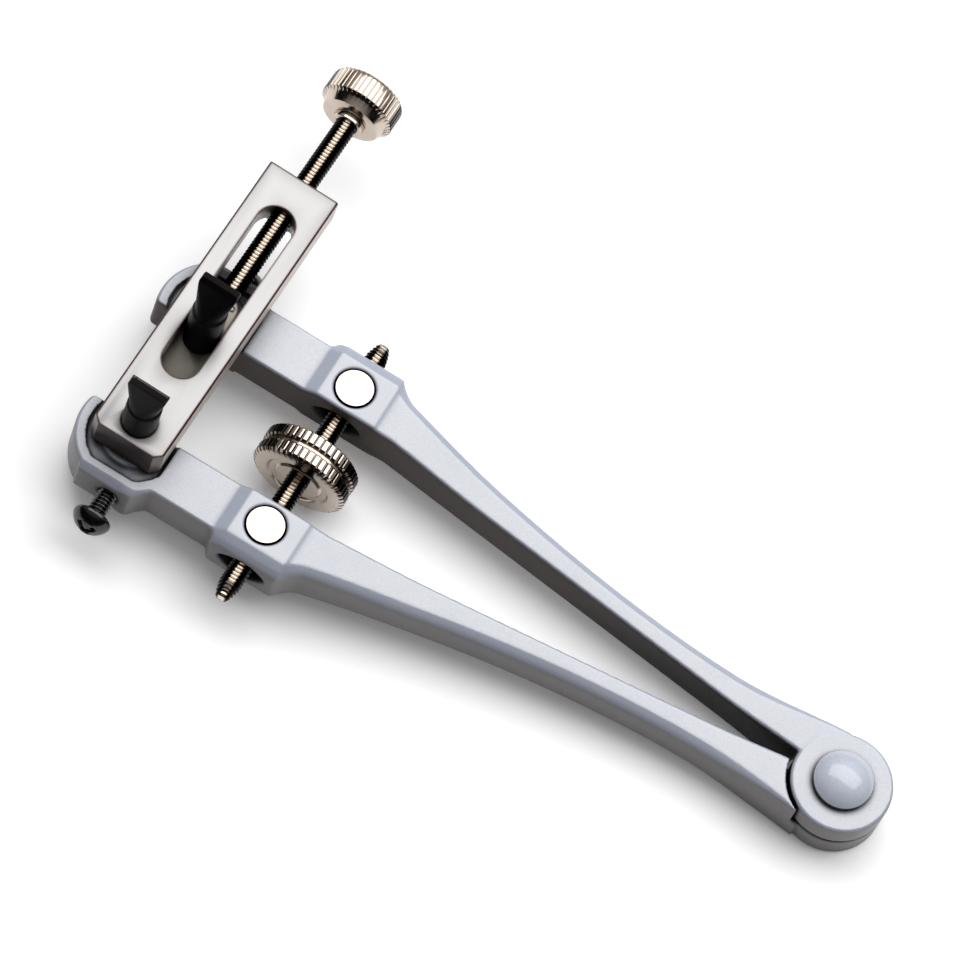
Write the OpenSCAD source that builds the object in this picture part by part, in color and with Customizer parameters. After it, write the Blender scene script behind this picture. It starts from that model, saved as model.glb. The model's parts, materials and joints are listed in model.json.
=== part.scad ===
// Compass-type opener for screw-backed watch cases: two cast arms on a rivet, a cross
// screw with a thumb wheel that spreads them, and a slotted head bar with two bits.
// X runs along the arms, with the rivet at 0 and the head at -X. Y runs across them.
// Z rises from the arms' underside.

/* [Rivet joint] */
// Radius of the round hub at the rivet
hub_r = 9; // [8:0.25:10]
// Height of both laps with the washer between them
hub_h = 10.5; // [9.5:0.25:11]
// Diameter of the rivet's shank
rivet_d = 5; // [4:0.25:6]
// Diameter of the rivet's head
rivet_head_d = 10.4; // [9:0.2:12]
// Height of the rivet's head from the lap to the top of its dome
rivet_head_h = 3.4; // [2.5:0.1:4]
// Height of the straight wall under the rivet's dome
rivet_wall_h = 0.8; // [0.5:0.1:1.2]
// Thickness of the washer between the laps
washer_t = 0.3; // [0.2:0.05:0.6]
// Gap between a lap and the shoulder of the other arm
shoulder_gap = 0.65; // [0.4:0.05:1]

/* [Arms] */
// Distance from the rivet to the cross screw
nut_x = 105.5; // [95:0.5:110]
// Distance of each swivel nut from the middle line
nut_y = 15.05; // [14:0.05:16]
// Diameter of the swivel nuts
nut_d = 7; // [6.5:0.1:7.4]
// Height of the boss that holds the swivel nut
boss_h = 11; // [10.6:0.1:12]
// Length of the boss along the arm
boss_l = 12.4; // [11:0.2:14]
// Wall between the swivel nut and the arm's inner face
inner_wall = 1.2; // [0.9:0.1:1.4]
// Distance from the swivel nut's axis to the boss's outer face
boss_out = 7.1; // [6.5:0.1:8.5]
// Width of the boss's sloped outer edge
boss_chamfer = 2.6; // [1.5:0.1:3]
// Distance of the arm's inner face from the middle line beside the hub
root_y = 0.9; // [0.7:0.1:1.2]
// Distance from the rivet to the arm's narrowest place
waist_x = 24; // [18:1:30]
// Distance of the outer face from the middle line at that place
waist_y = 7.9; // [7:0.05:8]
// Distance of the outer face from the middle line just before the boss
flare_y = 18.9; // [17.5:0.1:19.5]
// How fast the arm widens towards the boss
flare_power = 1.7; // [1.5:0.05:2]
// Depth of the dip in the arm's top between the hub and the boss
top_dip = 1.4; // [0:0.1:1.6]
// Width of the rolled upper edge along the arm
edge_roll = 1.7; // [1:0.1:2]
// Height that the underside of the arm is relieved by
relief = 0.6; // [0.3:0.1:1]

/* [Arm heads] */
// Distance from the rivet to the bit sockets
socket_x = 132.5; // [128:0.1:134]
// Distance of each socket from the middle line
socket_y = 13.3; // [13:0.1:15]
// Diameter of the bit sockets
socket_d = 4.6; // [4.4:0.1:5]
// Radius of the arm's round head about its socket
head_r = 10.2; // [9.6:0.1:11]
// Height of the head's rim
head_h = 9.6; // [9:0.1:10.2]
// Width of the rim
rim_w = 2.1; // [1.6:0.1:2.4]
// Depth of the pocket inside the rim
pocket_depth = 1; // [0.6:0.1:1.5]
// Distance from the socket to the pocket's step towards the boss
pocket_step = 7.2; // [6.9:0.1:7.6]
// Distance from the socket to the head's outer face
screw_face = 9.7; // [9:0.1:10]
// Width of the flat that carries the clamp screw
screw_face_w = 10.4; // [8:0.2:11]
// Distance of the neck's outer face from the middle line
neck_y = 20.2; // [19.5:0.1:21]
// Height of the seat above the lower arm's rim
seat_h = 0.2; // [0.1:0.05:0.5]
// Diameter of the seat under the head bar
seat_d = 11; // [9:0.5:12]

/* [Cross screw and thumb wheel] */
// Diameter of the cross screw
screw_d = 4; // [3.5:0.1:4.2]
// Height of the cross screw above the arms' underside
screw_z = 5.5; // [5.2:0.1:5.8]
// Length of the cross screw on the lower arm's side
screw_low = 28.6; // [28:0.2:31]
// Length of the cross screw on the upper arm's side
screw_high = 26.8; // [26:0.2:29]
// Length of the cross screw's tapered ends
screw_taper = 2.8; // [2:0.2:3.4]
// Width of the openings in the arms that the cross screw passes
window_w = 9.4; // [7:0.2:10]
// Height of those openings
window_h = 5.2; // [4.8:0.1:5.6]
// Diameter of the thumb wheel over its knurl
wheel_d = 17.8; // [15:0.2:19]
// Thickness of the thumb wheel
wheel_t = 6; // [5:0.2:7]
// Width of the groove between the wheel's two knurled bands
wheel_groove_w = 0.8; // [0.6:0.1:1.2]
// Depth of the thumb wheel's knurl
wheel_knurl = 0.45; // [0.3:0.05:0.6]
// Number of ridges on the thumb wheel
wheel_ridges = 44; // [30:1:50]

/* [Head bar] */
// Width of the head bar
bar_w = 13.7; // [13:0.1:14.2]
// Thickness of the head bar
bar_t = 7; // [6.5:0.1:8]
// Length of the bar on the far side of the fixed bit
bar_far = 53.8; // [50:0.2:56]
// Length of the bar on the near side of the fixed bit
bar_near = 4.4; // [4:0.1:6]
// Slant of the bar's near corners
bar_corner = 1.4; // [0.8:0.1:2]
// Broken edge around the bar
bar_edge = 0.3; // [0.1:0.05:0.5]
// Angle that the bar stands off square to the arms
bar_skew = 1; // [0:0.25:2]
// Width of the slot
slot_w = 7; // [6.4:0.1:7.2]
// Distance from the fixed bit to the slot's near end
slot_near = 10.2; // [9.6:0.1:11]
// Distance from the fixed bit to the slot's far end
slot_far = 47.5; // [44:0.5:48]
// Width of the guide channel in the bar's underside
channel_w = 9.6; // [9:0.1:10.4]
// Depth of the guide channel
channel_h = 2.1; // [1.8:0.1:2.4]

/* [Bits and slide] */
// Diameter of the bits' round bodies
bit_d = 6.2; // [5.8:0.1:6.3]
// Height of the bits' tips above the head bar
bit_h = 16; // [13:0.5:18]
// Width of the bits' blades
blade_w = 7.3; // [6.4:0.1:8]
// Thickness of the bits' blades
blade_t = 1.9; // [1.4:0.1:2.4]
// Distance of a blade's middle from its bit's axis
blade_shift = 0.8; // [0.2:0.1:1.2]
// Height of the flared part of a bit
blade_h = 8.4; // [7:0.2:10]
// Distance from the fixed bit to the sliding bit
bit_gap = 21; // [20:0.2:26]
// Length of the slide block behind the sliding bit's axis
block_l = 8; // [7.4:0.1:9]
// Length of the slide's foot in front of the sliding bit's axis
foot_l = 9.4; // [8:0.2:9.6]

/* [Lead screw and knob] */
// Diameter of the lead screw
lead_d = 4; // [3.6:0.1:4.2]
// Length of the lead screw between the bar and the knob
lead_free = 16; // [12:0.5:20]
// Diameter of the screw's plain end in the slide block
journal_d = 3; // [2.6:0.1:3.2]
// Diameter of the knob over its knurl
knob_d = 13.8; // [11:0.1:14]
// Length of the knob
knob_l = 6.8; // [6:0.1:8]
// Length of the knob's sloped inner end
knob_cone = 1.8; // [1.2:0.1:2.4]
// Depth of the knob's knurl
knob_knurl = 0.25; // [0.15:0.05:0.4]
// Number of ridges on the knob
knob_ridges = 44; // [30:1:50]

/* [Clamp screws] */
// Diameter of the clamp screws
clamp_d = 3.5; // [3:0.1:3.8]
// Diameter of their heads
clamp_head_d = 7; // [6:0.1:7.6]
// Height of their heads
clamp_head_h = 3.2; // [2.6:0.1:3.6]
// Distance of their line from the socket's axis
clamp_side = 1.3; // [0:0.1:1.4]
// Gap between the lower arm and its clamp screw's head
clamp_out = 4.6; // [3:0.1:5]

/* [Hidden] */
$fn = 96;

// Radial play of every running fit
play = 0.05;
// Small overrun that makes a cut pass its face
over = 1;
paint = "#c3c8d4";
nickel = "#d9cfc2";
black = "#1d1a1b";

// Heights in the rivet joint
lap_h = (hub_h - washer_t) / 2 - play;
shoulder_r = hub_r + shoulder_gap;
shoulder_out = 0.35;
rivet_tail_h = 1.5;
rivet_tail_r = rivet_d / 2 + rivet_tail_h;

// Places along and across an arm
inner_y = nut_y - nut_d / 2 - inner_wall;
boss_y = nut_y + boss_out;
boss_near = nut_x - boss_l / 2;
boss_far = nut_x + boss_l / 2;
flare_l = 4;
flare_turn = 1.4;
flare_x = boss_near - flare_l;
rise_x = nut_x - 30;
boss_end = 1.2;
boss_slope = 2.6;
step_l = 1;
neck_l = 2.6;
neck_lap = 0.6;
neck_far = socket_x - screw_face_w / 2 - neck_l;
head_near = socket_x - screw_face_w / 2 + neck_lap;
loft_lap = 3;
loft_end = socket_x - loft_lap;
face_y = socket_y + screw_face;

// Edges of the castings: broken corners, and the rolls' height against their width
fine_edge = 0.4;
face_edge = 1.3;
roll_rise = 1.1;
under_roll = 0.7;

// Heights in the head
face_wall = 2.7;
clamp_z = head_h / 2;
seat_z = head_h + seat_h;
bar_top = seat_z + bar_t;
bar_mid = seat_z + bar_t / 2;
bit_top = bar_top + bit_h;
foot_gap = 0.1;
foot_top = seat_z + channel_h - foot_gap;
block_drop = 0.8;
block_top = bar_top - block_drop;
slide_play = 0.1;
foot_w = channel_w - 2 * slide_play;
block_w = slot_w - 2 * slide_play;

// How far the slide can run each way from where it stands
stop_gap = 0.3;
slide_near = bit_gap - bit_d / 2 - slot_near - stop_gap;
slide_far = slot_far - bit_gap - block_l - stop_gap;

// Shape of the bits: waist, and the bevelled tip of the blade
bit_neck = 0.6;
waist_d = bit_d - 0.7;
tip_h = 1;
tip_edge = 0.2;
tip_land = 1.1;

// Lead screw: journal, clip and groove in the slide block, then collar and knob
journal_near = 3.8;
journal_groove_r = journal_d / 2 - 0.5;
clip_t = 0.8;
clip_at = 5.4;
clip_w = 4.8;
thread_edge = 0.3;
lead_start = bit_gap + block_l + play;
knob_at = bar_far + lead_free;
knob_face = 1.2;
knob_bore_end = knob_at + knob_l - knob_face;
knob_screw_y = knob_at + (knob_cone + knob_l) / 2 - 0.6;
collar_t = 1.2;
collar_d = 6;

// Small screws
set_d = 2;
set_hex = 1;
set_sunk = 0.5;
bit_screw_d = 3;
bit_screw_l = 5;
bit_screw_head = 1.4;
bit_screw_tip = 0.5;
clamp_l = screw_face + clamp_out - socket_d / 2;
head_edge = 0.8;
recess_l = 4.2;
recess_w = 1;
recess_h = 1.3;

function ease(t) = t <= 0 ? 0 : t >= 1 ? 1 : t * t * (3 - 2 * t);
function between(d, from, to) = ease((d - from) / (to - from));
function line(d, from, to) = min(1, max(0, (d - from) / (to - from)));

// Cross-section of an arm at a distance d from the rivet
function inner_at(d) =
    min(inner_y, root_y + (inner_y - root_y) * (d - hub_r) / (flare_x - hub_r));
function beam_outer(d, root) =
    d < waist_x ? waist_y + (root - waist_y) * pow(1 - d / waist_x, 2)
    : waist_y + (flare_y - waist_y) * pow((d - waist_x) / (flare_x - waist_x), flare_power);
function outer_at(d, root) =
    d <= flare_x ? beam_outer(d, root)
    : d <= boss_near ? flare_y + (boss_y - flare_y) * pow(line(d, flare_x, boss_near), flare_turn)
    : d <= neck_far ? boss_y + (neck_y - boss_y) * between(d, boss_far, boss_far + boss_end)
    : neck_y + (face_y - neck_y) * between(d, neck_far, head_near);
function top_at(d) =
    hub_h - top_dip * (between(d, hub_r / 2, waist_x) - between(d, rise_x, boss_near - step_l))
    + (boss_h - hub_h) * between(d, boss_near - step_l, boss_near)
    - (boss_h - head_h) * line(d, boss_far - boss_slope / 2, boss_far + boss_slope / 2);
function bottom_at(d) = relief * (between(d, waist_x / 2, waist_x)
    - between(d, flare_x, boss_near) + between(d, boss_far, boss_far + boss_end)
    - between(d, neck_far, head_near));
function roll_at(d) =
    fine_edge + (edge_roll - fine_edge) * between(d, 0, waist_x)
    + (boss_chamfer - edge_roll) * between(d, flare_x, boss_near)
    - (boss_chamfer - fine_edge) * between(d, boss_far, boss_far + boss_end)
    + (face_edge - fine_edge) * between(d, neck_far, head_near);

// Ring of points round the arm: round lower edge, outer face, rolled upper edge, inner face
function ring(d, root) =
    let (yi = inner_at(d), yo = outer_at(d, root), zt = top_at(d), zb = bottom_at(d),
        w = roll_at(d), h = w * roll_rise, r = w * under_roll)
    concat(
        [[-d, yi + fine_edge, zb]],
        [for (a = [0 : 45 : 90]) [-d, yo - r + r * sin(a), zb + r - r * cos(a)]],
        [for (i = [0 : 3]) let (t = i / 3) [-d, yo - w * t * t, zt - h + h * t]],
        [[-d, yi + fine_edge, zt], [-d, yi, zt - fine_edge], [-d, yi, zb + fine_edge]]);
function steps(from, to, count) = [for (i = [0 : count - 1]) from + (to - from) * i / count];

// Stations closer together where the arm changes fast
function stations(start) = concat(
    steps(start, waist_x, 7), steps(waist_x, flare_x, 14), steps(flare_x, boss_near, 6),
    steps(boss_near, boss_far - boss_slope / 2, 1),
    steps(boss_far - boss_slope / 2, boss_far + boss_slope / 2, 8),
    steps(boss_far + boss_slope / 2, neck_far, 2), steps(neck_far, head_near, 8),
    [head_near, loft_end]);

// The arm's beam, boss and neck as one loft on the +Y side
module beam(start, root) {
    at = stations(start);
    rings = [for (d = at) each ring(d, root)];
    n = len(ring(start, root));
    last = len(at) - 1;
    sides = [for (i = [0 : last - 1]) for (j = [0 : n - 1])
        let (a = i * n + j, b = i * n + (j + 1) % n, c = (i + 1) * n + (j + 1) % n,
            e = (i + 1) * n + j) each [[a, b, c], [a, c, e]]];
    caps = [[for (j = [n - 1 : -1 : 0]) j], [for (j = [0 : n - 1]) last * n + j]];
    polyhedron(points = rings, faces = concat(sides, caps), convexity = 6);
}

// Outline of the round head about its socket, open towards the neck
module head_outline() {
    tip_r = rim_w / 2;
    tip_y = inner_y - socket_y + tip_r;
    tip_x = sqrt(pow(head_r - tip_r, 2) - pow(tip_y, 2));
    intersection() {
        circle(r = head_r);
        translate([-head_r, tip_y]) square([2 * head_r, screw_face - tip_y]);
    }
    translate([-tip_x, tip_y]) circle(r = tip_r);
    translate([-tip_x, tip_y - tip_r]) square([tip_x + pocket_step, 2 * tip_r]);
}

// Side shape of the head with its sloped outer edges, as a sheet across the arm
module head_side() {
    polygon([[inner_y - over, 0], [face_y - face_edge, 0], [face_y, face_edge],
        [face_y, head_h - face_edge], [face_y - face_edge, head_h], [inner_y - over, head_h]]);
}

module along_y() rotate([-90, 0, 0]) children();

module at_socket(z) translate([-socket_x, socket_y, z]) children();

// Round head with its broken edges, cut to the outline
module head_block() {
    intersection() {
        at_socket(0) rotate_extrude()
            polygon([[0, 0], [head_r - fine_edge, 0], [head_r, fine_edge],
                [head_r, head_h - fine_edge], [head_r - fine_edge, head_h], [0, head_h]]);
        at_socket(0) linear_extrude(head_h) head_outline();
        translate([-socket_x - head_r - over, 0, 0]) rotate([90, 0, 90])
            linear_extrude(2 * head_r + 2 * over) head_side();
    }
    translate([-socket_x - screw_face_w / 2, 0, 0]) rotate([90, 0, 90])
        linear_extrude(screw_face_w) intersection() {
            head_side();
            translate([socket_y + head_r / 2, 0]) square([head_r, head_h]);
        }
}

// Pocket inside the rim, with the seat left standing
module pocket(seat) {
    inside = head_r - rim_w;
    at_socket(head_h - pocket_depth) difference() {
        linear_extrude(pocket_depth + over) intersection() {
            circle(r = inside);
            translate([-inside, -inside])
                square([inside + pocket_step, inside + screw_face - face_wall]);
        }
        translate([0, 0, -over]) cylinder(d = seat_d, h = pocket_depth + over + seat);
    }
}

// Lens-shaped opening for the cross screw, wide enough for its swing
module window() {
    arc_r = (pow(window_w / 2, 2) + pow(window_h / 2, 2)) / window_h;
    translate([-nut_x, 0, screw_z]) along_y() linear_extrude(boss_y + over) intersection() {
        translate([0, arc_r - window_h / 2]) circle(r = arc_r);
        translate([0, window_h / 2 - arc_r]) circle(r = arc_r);
    }
}

// Everything drilled in an arm: swivel nut, windows, socket and clamp screw
module arm_holes() {
    nut_r = nut_d / 2 + play;
    translate([-nut_x, nut_y, -over]) cylinder(r = nut_r, h = boss_h + 2 * over);
    for (end = [0, 1]) translate([-nut_x, nut_y, end * boss_h]) mirror([0, 0, end])
        translate([0, 0, -play]) cylinder(r1 = nut_r + fine_edge, r2 = nut_r, h = fine_edge);
    window();
    at_socket(-over) cylinder(d = socket_d, h = head_h + 2 * over);
    translate([-socket_x + clamp_side, face_y - clamp_l - 2 * play, clamp_z]) along_y()
        cylinder(r = clamp_d / 2 + play, h = clamp_l + over);
}

// Half of the lapped rivet joint, with broken outer edges
module lap() {
    mate_edge = fine_edge / 4;
    rotate_extrude()
        polygon([[0, 0], [hub_r - fine_edge, 0], [hub_r, fine_edge], [hub_r, lap_h - mate_edge],
            [hub_r - mate_edge, lap_h], [0, lap_h]]);
}

module lower_arm() color(paint) difference() {
    union() {
        lap();
        mirror([0, 1, 0]) difference() {
            union() {
                beam(hub_r / 3, hub_r + shoulder_out);
                head_block();
                at_socket(head_h - pocket_depth) linear_extrude(pocket_depth + seat_h)
                    intersection() {
                        circle(d = seat_d);
                        head_outline();
                    }
            }
            pocket(seat_h);
            arm_holes();
        }
    }
    translate([0, 0, lap_h]) cylinder(r = shoulder_r, h = hub_h);
    translate([0, 0, -over]) cylinder(r = rivet_d / 2 + play, h = hub_h);
    translate([0, 0, -play])
        cylinder(r1 = rivet_tail_r + play, r2 = rivet_d / 2 + play, h = rivet_tail_h + play);
}

module upper_arm() color(paint) difference() {
    union() {
        difference() {
            union() {
                beam(hub_r / 3, hub_r);
                head_block();
            }
            pocket(0);
            arm_holes();
        }
        translate([0, 0, hub_h]) mirror([0, 0, 1]) lap();
    }
    translate([0, 0, -lap_h]) cylinder(r = shoulder_r, h = hub_h);
    translate([0, 0, -over]) cylinder(r = rivet_d / 2 + play, h = hub_h + 2 * over);
}

// Domed head, shank and countersunk tail in one revolve
module pivot_rivet() color(paint) {
    seat = hub_h + play;
    dome_h = rivet_head_h - rivet_wall_h;
    dome_r = (pow(rivet_head_d / 2, 2) + pow(dome_h, 2)) / (2 * dome_h);
    dome_angle = asin(rivet_head_d / 2 / dome_r);
    rotate_extrude() polygon(concat(
        [[0, 0], [rivet_tail_r, 0], [rivet_d / 2, rivet_tail_h], [rivet_d / 2, seat],
         [rivet_head_d / 2, seat]],
        [for (i = [0 : 12]) let (a = dome_angle * (1 - i / 12))
            [dome_r * sin(a), seat + rivet_head_h - dome_r + dome_r * cos(a)]]));
}

module pivot_washer() color(nickel) translate([0, 0, lap_h + play]) difference() {
    cylinder(r = hub_r - shoulder_gap, h = washer_t);
    translate([0, 0, -over]) cylinder(r = rivet_d / 2 + play, h = washer_t + 2 * over);
}

// Round nut that turns in its boss, cross-drilled for the screw
module swivel_nut(side) color(nickel) translate([-nut_x, side * nut_y, 0]) difference() {
    r = nut_d / 2;
    edge = fine_edge / 2;
    foot = relief / 2;
    rotate_extrude() polygon([[0, foot], [r - edge, foot], [r, foot + edge],
        [r, boss_h - edge], [r - edge, boss_h], [0, boss_h]]);
    translate([0, -nut_d, screw_z]) along_y() cylinder(r = screw_d / 2 + play, h = 2 * nut_d);
}

module lower_swivel_nut() swivel_nut(-1);

module upper_swivel_nut() swivel_nut(1);

// Half profile of the cross screw's rounded taper, from its tip inwards
function taper(t) = [screw_d / 4 * (1 + sqrt(t)), screw_taper * t];

// Cross screw with tapered ends; the wheel sits at its middle
module spread_screw() color(nickel) translate([-nut_x, 0, screw_z]) along_y() rotate_extrude()
    polygon(concat([[0, -screw_low]],
        [for (i = [0 : 4]) [0, -screw_low] + taper(i / 4)],
        [for (i = [4 : -1 : 0]) let (p = taper(i / 4)) [p[0], screw_high - p[1]]],
        [[0, screw_high]]));

// Straight knurl: a ring of flat-topped ridges
module ridges(r, depth, count) {
    pitch = 360 / count;
    valley = 0.16;
    flank = 0.18;
    polygon([for (i = [0 : count - 1]) each
        [for (p = [[0, depth], [valley, depth], [valley + flank, 0], [1 - flank, 0]])
            let (a = (i + p[0]) * pitch) (r - p[1]) * [cos(a), sin(a)]]]);
}

// Thumb wheel: two knurled bands, turned grooves in both faces
module thumb_wheel() color(nickel) translate([-nut_x, 0, screw_z]) along_y() difference() {
    r = wheel_d / 2;
    past = r + play;
    half = wheel_t / 2;
    groove = wheel_groove_w / 2;
    groove_r = r - wheel_knurl - 3 * play;
    bevel = wheel_knurl + 4 * play;
    ring_in = r * 0.5;
    ring_out = r * 0.68;
    ring_h = 0.35;
    intersection() {
        translate([0, 0, -half]) linear_extrude(wheel_t) ridges(r, wheel_knurl, wheel_ridges);
        rotate_extrude() polygon([[0, -half], [ring_in, -half], [ring_in + ring_h, ring_h - half],
            [ring_out - ring_h, ring_h - half], [ring_out, -half], [r - bevel, -half],
            [past, bevel - half], [past, -groove], [groove_r, -groove / 2], [groove_r, groove / 2],
            [past, groove], [past, half - bevel], [r - bevel, half], [ring_out, half],
            [ring_out - ring_h, half - ring_h], [ring_in + ring_h, half - ring_h],
            [ring_in, half], [0, half]]);
    }
    translate([0, 0, -wheel_t]) cylinder(r = screw_d / 2 + play, h = 2 * wheel_t);
    rotate([90, 0, 180]) cylinder(d = set_d, h = wheel_d);
}

// Set screws with a hexagon socket that hold the wheel and the knob on their screws
module set_screw(from, to) difference() {
    translate([0, 0, from]) cylinder(d = set_d - 2 * play, h = to - from);
    translate([0, 0, to - set_hex]) cylinder(d = set_hex, h = 2 * set_hex, $fn = 6);
}

module wheel_set_screw() color(black) translate([-nut_x, 0, screw_z]) rotate([180, 0, 0])
    set_screw(screw_d / 2 + play, wheel_d / 2 - wheel_knurl - set_sunk);

// The head bar's frame: the fixed bit's axis, with Y along the bar
module at_head() translate([-socket_x, -socket_y, 0]) rotate([0, 0, -bar_skew]) children();

module slot_shape(width, near, far) {
    translate([0, near + width / 2]) circle(d = width);
    translate([0, far - width / 2]) circle(d = width);
    translate([-width / 2, near + width / 2]) square([width, far - near - width]);
}

// Slotted bar with its guide channel, bit hole and the lead screw's thread
module head_bar() color(nickel) at_head() difference() {
    half = bar_w / 2;
    channel_near = bit_gap - foot_l - slide_near - foot_gap;
    channel_far = bit_gap + block_l + slide_far + 2 * foot_gap;
    intersection() {
        translate([0, 0, seat_z]) linear_extrude(bar_t)
            polygon([[-half, bar_far], [-half, bar_corner - bar_near],
                [bar_corner - half, -bar_near], [half - bar_corner, -bar_near],
                [half, bar_corner - bar_near], [half, bar_far]]);
        translate([0, bar_far, seat_z]) rotate([90, 0, 0]) linear_extrude(bar_far + bar_near)
            polygon([[bar_edge - half, 0], [half - bar_edge, 0],
                [half, bar_edge], [half, bar_t - bar_edge],
                [half - bar_edge, bar_t], [bar_edge - half, bar_t],
                [-half, bar_t - bar_edge], [-half, bar_edge]]);
    }
    translate([0, 0, seat_z - over]) linear_extrude(bar_t + 2 * over)
        slot_shape(slot_w, slot_near, slot_far);
    translate([-channel_w / 2, channel_near, seat_z - over])
        cube([channel_w, channel_far - channel_near, channel_h + over]);
    translate([0, 0, seat_z - over]) cylinder(r = bit_d / 2 + play, h = bar_t + 2 * over);
    translate([0, slot_far - over, bar_mid]) along_y()
        cylinder(r = lead_d / 2 + play, h = bar_far - slot_far + 2 * over);
}

// Blackened bit: round body, waist, and a blade that flares to its bevelled tip
module bit(base, lean) {
    waist_z = bit_top - blade_h;
    bevel = blade_t - tip_land;
    translate([0, 0, base]) cylinder(d = bit_d, h = waist_z - base - bit_neck);
    translate([0, 0, waist_z - bit_neck]) cylinder(d1 = bit_d, d2 = waist_d, h = bit_neck);
    hull() {
        translate([0, 0, waist_z]) cylinder(d = waist_d, h = tip_edge, $fn = 32);
        translate([-blade_w / 2, lean - blade_t / 2, bit_top - tip_h])
            cube([blade_w, blade_t, tip_edge]);
        translate([tip_edge - blade_w / 2, lean - blade_t / 2 + (lean > 0 ? bevel : 0),
            bit_top - tip_edge]) cube([blade_w - 2 * tip_edge, tip_land, tip_edge]);
    }
}

module fixed_bit() color(black) at_head() {
    bit(seat_z + play, -blade_shift);
    translate([0, 0, relief]) cylinder(r = socket_d / 2 - play, h = seat_z);
}

module slide_bit() color(black) at_head() translate([0, bit_gap, 0]) difference() {
    bit(foot_top + play, blade_shift);
    cylinder(r = bit_screw_d / 2 + play, h = foot_top + bit_screw_l);
}

// Countersunk screw that draws the sliding bit down on its foot
module slide_bit_screw() color(black) at_head() translate([0, bit_gap, seat_z + foot_gap]) {
    r = bit_screw_d / 2;
    cylinder(r1 = r + bit_screw_head, r2 = r, h = bit_screw_head);
    translate([0, 0, bit_screw_head]) cylinder(r = r,
        h = foot_top - seat_z - foot_gap - bit_screw_head + bit_screw_l - bit_screw_tip);
}

// Slide: a flat foot in the guide channel, and a block with a round far end that hugs the
// bit and holds the lead screw
module slide_block() color(nickel) at_head() translate([0, bit_gap, 0]) difference() {
    block_h = block_top - foot_top + over;
    screw_r = bit_screw_d / 2 + play;
    union() {
        translate([-foot_w / 2, -foot_l, seat_z + foot_gap])
            cube([foot_w, foot_l + block_l, foot_top - seat_z - foot_gap]);
        difference() {
            translate([0, 0, foot_top - over]) {
                translate([-block_w / 2, 0, 0]) cube([block_w, block_l - block_w / 2, block_h]);
                translate([0, block_l - block_w / 2, 0]) cylinder(d = block_w, h = block_h);
            }
            translate([0, 0, foot_top]) cylinder(r = bit_d / 2 + play, h = bar_t);
        }
    }
    cylinder(r = screw_r, h = bar_top);
    translate([0, 0, seat_z + foot_gap - play])
        cylinder(r1 = screw_r + bit_screw_head + play, r2 = screw_r, h = bit_screw_head + play);
    translate([0, journal_near, bar_mid]) along_y()
        cylinder(r = journal_d / 2 + play, h = block_l);
    translate([-clip_w / 2 - play, clip_at - play, bar_mid - clip_w / 2])
        cube([clip_w + 2 * play, clip_t + 2 * play, bar_t]);
}

// Clip that drops into the block and keeps the lead screw's grooved end in place
module lead_screw_clip() color(nickel) at_head() translate([0, bit_gap + clip_at, bar_mid])
    difference() {
        fork = journal_groove_r + play;
        translate([-clip_w / 2, 0, play - clip_w / 2])
            cube([clip_w, clip_t, clip_w / 2 - play + block_top - bar_mid]);
        translate([0, -over, 0]) along_y() cylinder(r = fork, h = clip_t + 2 * over);
        translate([-fork, -over, -clip_w]) cube([2 * fork, clip_t + 2 * over, clip_w]);
    }

module lead_screw() color(nickel) at_head() translate([0, 0, bar_mid]) along_y()
    rotate_extrude() {
        clip_y = bit_gap + clip_at;
        tip_y = bit_gap + journal_near + play;
        r = journal_d / 2;
        polygon([[0, tip_y], [r, tip_y], [r, clip_y - play], [journal_groove_r, clip_y - play],
            [journal_groove_r, clip_y + clip_t + play], [r, clip_y + clip_t + play],
            [r, lead_start], [lead_d / 2 - thread_edge, lead_start],
            [lead_d / 2, lead_start + thread_edge],
            [lead_d / 2, knob_bore_end - play], [0, knob_bore_end - play]]);
    }

// Locking collar on the lead screw against the knob
module knob_collar() color(nickel) at_head() translate([0, knob_at - collar_t - play, bar_mid])
    along_y() difference() {
        cylinder(d = collar_d, h = collar_t);
        translate([0, 0, -over]) cylinder(r = lead_d / 2 + play / 2, h = collar_t + 2 * over);
    }

// Knurled knob with a sloped inner end, a rounded rim and a shallow dish in its face
module lead_knob() color(nickel) at_head() translate([0, knob_at, bar_mid]) along_y()
    difference() {
        r = knob_d / 2;
        past = r + play;
        rim = 0.8;
        cone_in = 0.95;
        cone_out = 0.3;
        dish = 0.3;
        intersection() {
            linear_extrude(knob_l) ridges(r, knob_knurl, knob_ridges);
            rotate_extrude() polygon(concat(
                [[0, 0], [r - cone_in, 0], [r - cone_out, knob_cone],
                 [past, knob_cone + cone_out]],
                [for (a = [0 : 15 : 90])
                    [past - rim + rim * cos(a), knob_l - rim + rim * sin(a)]],
                [[r / 2, knob_l], [r / 2 - dish, knob_l - dish], [0, knob_l - dish]]));
        }
        translate([0, 0, -over])
            cylinder(r = lead_d / 2 + play / 2, h = knob_bore_end - knob_at + over);
        translate([0, 0, knob_screw_y - knob_at]) rotate([90, 0, 180])
            cylinder(d = set_d, h = knob_d);
    }

module knob_set_screw() color(black) at_head() translate([0, knob_screw_y, bar_mid])
    rotate([180, 0, 0]) set_screw(lead_d / 2 + play, knob_d / 2 - knob_knurl - set_sunk);

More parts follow.
